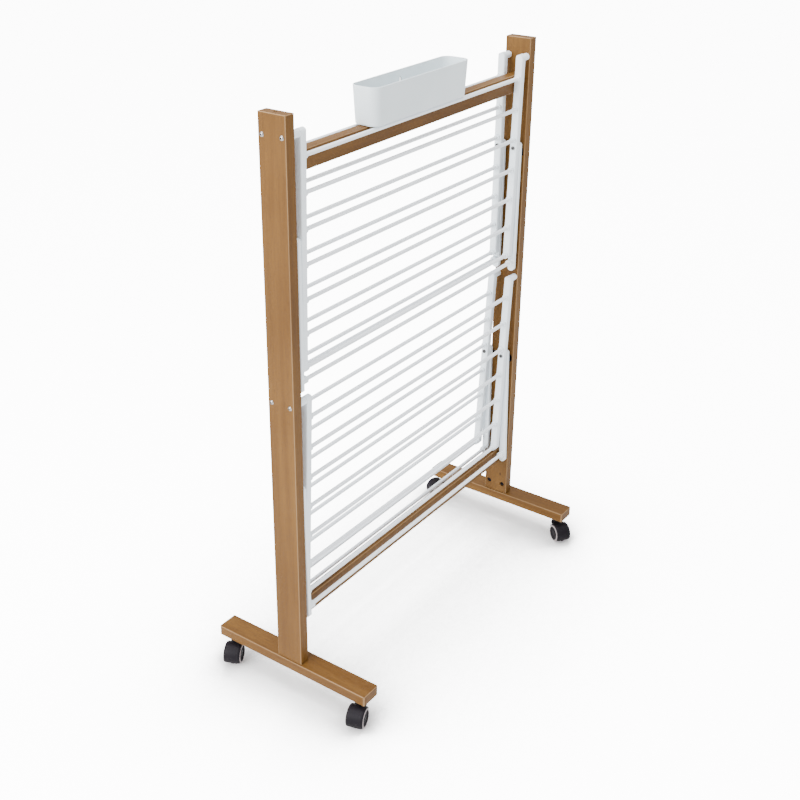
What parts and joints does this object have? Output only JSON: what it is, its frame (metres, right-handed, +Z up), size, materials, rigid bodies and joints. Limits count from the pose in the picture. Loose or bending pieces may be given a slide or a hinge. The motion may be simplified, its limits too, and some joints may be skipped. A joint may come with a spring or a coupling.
{
  "type": "folding clothes drying rack",
  "caption": "Wooden drying rack on wheeled feet, with fold-out wings of white rods held up by struts, and a lift-off peg tray.",
  "frame": {"origin": "on the floor, under the middle of the frame", "axes": "+X along the rack's rods, -Y the front, +Z up"},
  "size_m": [1.0575, 0.4984, 1.445],
  "materials": {
    "stained_wood": "brown stained beech under satin varnish",
    "bare_wood": "bare beech",
    "white_plastic": "moulded white, satin",
    "white_rod": "white coating, smooth",
    "tray_plastic": "moulded light grey, satin",
    "black_plastic": "moulded black, satin",
    "wheel_plastic": "black discs with a grey tread",
    "bright_steel": "nickel plated"
  },
  "bodies": {
    "frame": {"post_left": "stained_wood", "post_right": "stained_wood", "foot_left": "stained_wood", "foot_right": "stained_wood", "top_rail": "stained_wood", "bottom_rail": "stained_wood", "rail_dowels": "bare_wood", "foot_bolts": "bright_steel", "barrel_nuts": "bright_steel", "hinge_pins": "bright_steel", "strut_sockets": "black_plastic", "caster_sleeves": "bright_steel"},
    "tray": {"tray": "tray_plastic", "tray_guides": "tray_plastic"},
    "wing_front_upper": {"wing_uf_side_left": "white_plastic", "wing_uf_side_right": "white_plastic", "wing_uf_rods": "white_rod", "wing_uf_pivots": "bright_steel"},
    "strut_front_upper": {"strut_uf_bars": "white_plastic", "strut_uf_cross_rod": "white_rod"},
    "wing_back_upper": {"wing_ub_side_left": "white_plastic", "wing_ub_side_right": "white_plastic", "wing_ub_rods": "white_rod", "wing_ub_pivots": "bright_steel"},
    "strut_back_upper": {"strut_ub_bars": "white_plastic", "strut_ub_cross_rod": "white_rod"},
    "wing_front_lower": {"wing_lf_side_left": "white_plastic", "wing_lf_side_right": "white_plastic", "wing_lf_rods": "white_rod", "wing_lf_pivots": "bright_steel"},
    "strut_front_lower": {"strut_lf_bars": "white_plastic", "strut_lf_cross_rod": "white_rod"},
    "wing_back_lower": {"wing_lb_side_left": "white_plastic", "wing_lb_side_right": "white_plastic", "wing_lb_rods": "white_rod", "wing_lb_pivots": "bright_steel"},
    "strut_back_lower": {"strut_lb_bars": "white_plastic", "strut_lb_cross_rod": "white_rod"},
    "caster_front_left": {"caster_lf_stem": "bright_steel", "caster_lf_hood": "black_plastic", "caster_lf_axle": "bright_steel"},
    "caster_front_left_wheel_a": {"caster_lf_wheel_a": "wheel_plastic"},
    "caster_front_left_wheel_b": {"caster_lf_wheel_b": "wheel_plastic"},
    "caster_back_left": {"caster_lb_stem": "bright_steel", "caster_lb_hood": "black_plastic", "caster_lb_axle": "bright_steel"},
    "caster_back_left_wheel_a": {"caster_lb_wheel_a": "wheel_plastic"},
    "caster_back_left_wheel_b": {"caster_lb_wheel_b": "wheel_plastic"},
    "caster_front_right": {"caster_rf_stem": "bright_steel", "caster_rf_hood": "black_plastic", "caster_rf_axle": "bright_steel"},
    "caster_front_right_wheel_a": {"caster_rf_wheel_a": "wheel_plastic"},
    "caster_front_right_wheel_b": {"caster_rf_wheel_b": "wheel_plastic"},
    "caster_back_right": {"caster_rb_stem": "bright_steel", "caster_rb_hood": "black_plastic", "caster_rb_axle": "bright_steel"},
    "caster_back_right_wheel_a": {"caster_rb_wheel_a": "wheel_plastic"},
    "caster_back_right_wheel_b": {"caster_rb_wheel_b": "wheel_plastic"}
  },
  "joints": [
    {"name": "tray_lift", "type": "slide", "parent": "frame", "child": "tray", "axis": [0, 0, 1], "range_m": [0, 0.15]},
    {"name": "wing_front_upper_hinge", "type": "hinge", "parent": "frame", "child": "wing_front_upper", "pos_m": [0, -0.026, 1.398], "axis": [-1, 0, 0], "range_deg": [0, 91]},
    {"name": "strut_front_upper_pivot", "type": "hinge", "parent": "wing_front_upper", "child": "strut_front_upper", "pos_m": [0, -0.02195, 1.16603], "axis": [-1, 0, 0], "range_deg": [-134.36, 0.5]},
    {"name": "wing_back_upper_hinge", "type": "hinge", "parent": "frame", "child": "wing_back_upper", "pos_m": [0, 0.026, 1.398], "axis": [1, 0, 0], "range_deg": [0, 90]},
    {"name": "strut_back_upper_pivot", "type": "hinge", "parent": "wing_back_upper", "child": "strut_back_upper", "pos_m": [0, 0.026, 1.166], "axis": [1, 0, 0], "range_deg": [-133.36, 0.5]},
    {"name": "wing_front_lower_hinge", "type": "hinge", "parent": "frame", "child": "wing_front_lower", "pos_m": [0, -0.026, 0.795], "axis": [-1, 0, 0], "range_deg": [0, 92]},
    {"name": "strut_front_lower_pivot", "type": "hinge", "parent": "wing_front_lower", "child": "strut_front_lower", "pos_m": [0, -0.0179, 0.56314], "axis": [-1, 0, 0], "range_deg": [-136.86, 0.5]},
    {"name": "wing_back_lower_hinge", "type": "hinge", "parent": "frame", "child": "wing_back_lower", "pos_m": [0, 0.026, 0.795], "axis": [1, 0, 0], "range_deg": [-2.7, 87.3]},
    {"name": "strut_back_lower_pivot", "type": "hinge", "parent": "wing_back_lower", "child": "strut_back_lower", "pos_m": [0, 0.03693, 0.56326], "axis": [1, 0, 0], "range_deg": [-129.76, 4.5]},
    {"name": "caster_front_left_swivel", "type": "hinge", "parent": "frame", "child": "caster_front_left", "pos_m": [-0.4745, -0.198, 0.068], "axis": [0, 0, 1], "continuous": true},
    {"name": "caster_front_left_wheel_a_spin", "type": "hinge", "parent": "caster_front_left", "child": "caster_front_left_wheel_a", "pos_m": [-0.49841, -0.20531, 0.025], "axis": [0.2924, -0.9563, 0], "continuous": true},
    {"name": "caster_front_left_wheel_b_spin", "type": "hinge", "parent": "caster_front_left", "child": "caster_front_left_wheel_b", "pos_m": [-0.49841, -0.20531, 0.025], "axis": [0.2924, -0.9563, 0], "continuous": true},
    {"name": "caster_back_left_swivel", "type": "hinge", "parent": "frame", "child": "caster_back_left", "pos_m": [-0.4745, 0.198, 0.068], "axis": [0, 0, 1], "continuous": true},
    {"name": "caster_back_left_wheel_a_spin", "type": "hinge", "parent": "caster_back_left", "child": "caster_back_left_wheel_a", "pos_m": [-0.49716, 0.18743, 0.025], "axis": [0.4226, -0.9063, 0], "continuous": true},
    {"name": "caster_back_left_wheel_b_spin", "type": "hinge", "parent": "caster_back_left", "child": "caster_back_left_wheel_b", "pos_m": [-0.49716, 0.18743, 0.025], "axis": [0.4226, -0.9063, 0], "continuous": true},
    {"name": "caster_front_right_swivel", "type": "hinge", "parent": "frame", "child": "caster_front_right", "pos_m": [0.4965, -0.198, 0.068], "axis": [0, 0, 1], "continuous": true},
    {"name": "caster_front_right_wheel_a_spin", "type": "hinge", "parent": "caster_front_right", "child": "caster_front_right_wheel_a", "pos_m": [0.48252, -0.21873, 0.025], "axis": [0.829, -0.5592, 0], "continuous": true},
    {"name": "caster_front_right_wheel_b_spin", "type": "hinge", "parent": "caster_front_right", "child": "caster_front_right_wheel_b", "pos_m": [0.48252, -0.21873, 0.025], "axis": [0.829, -0.5592, 0], "continuous": true},
    {"name": "caster_back_right_swivel", "type": "hinge", "parent": "frame", "child": "caster_back_right", "pos_m": [0.4965, 0.198, 0.068], "axis": [0, 0, 1], "continuous": true},
    {"name": "caster_back_right_wheel_a_spin", "type": "hinge", "parent": "caster_back_right", "child": "caster_back_right_wheel_a", "pos_m": [0.47485, 0.2105, 0.025], "axis": [-0.5, -0.866, 0], "continuous": true},
    {"name": "caster_back_right_wheel_b_spin", "type": "hinge", "parent": "caster_back_right", "child": "caster_back_right_wheel_b", "pos_m": [0.47485, 0.2105, 0.025], "axis": [-0.5, -0.866, 0], "continuous": true}
  ],
  "couplings": [
    {"joint": "strut_front_upper_pivot", "follows": "wing_front_upper_hinge", "ratio": -1.471},
    {"joint": "strut_back_upper_pivot", "follows": "wing_back_upper_hinge", "ratio": -1.4762},
    {"joint": "strut_front_lower_pivot", "follows": "wing_front_lower_hinge", "ratio": -1.4822},
    {"joint": "strut_back_lower_pivot", "follows": "wing_back_lower_hinge", "ratio": -1.4807}
  ]
}
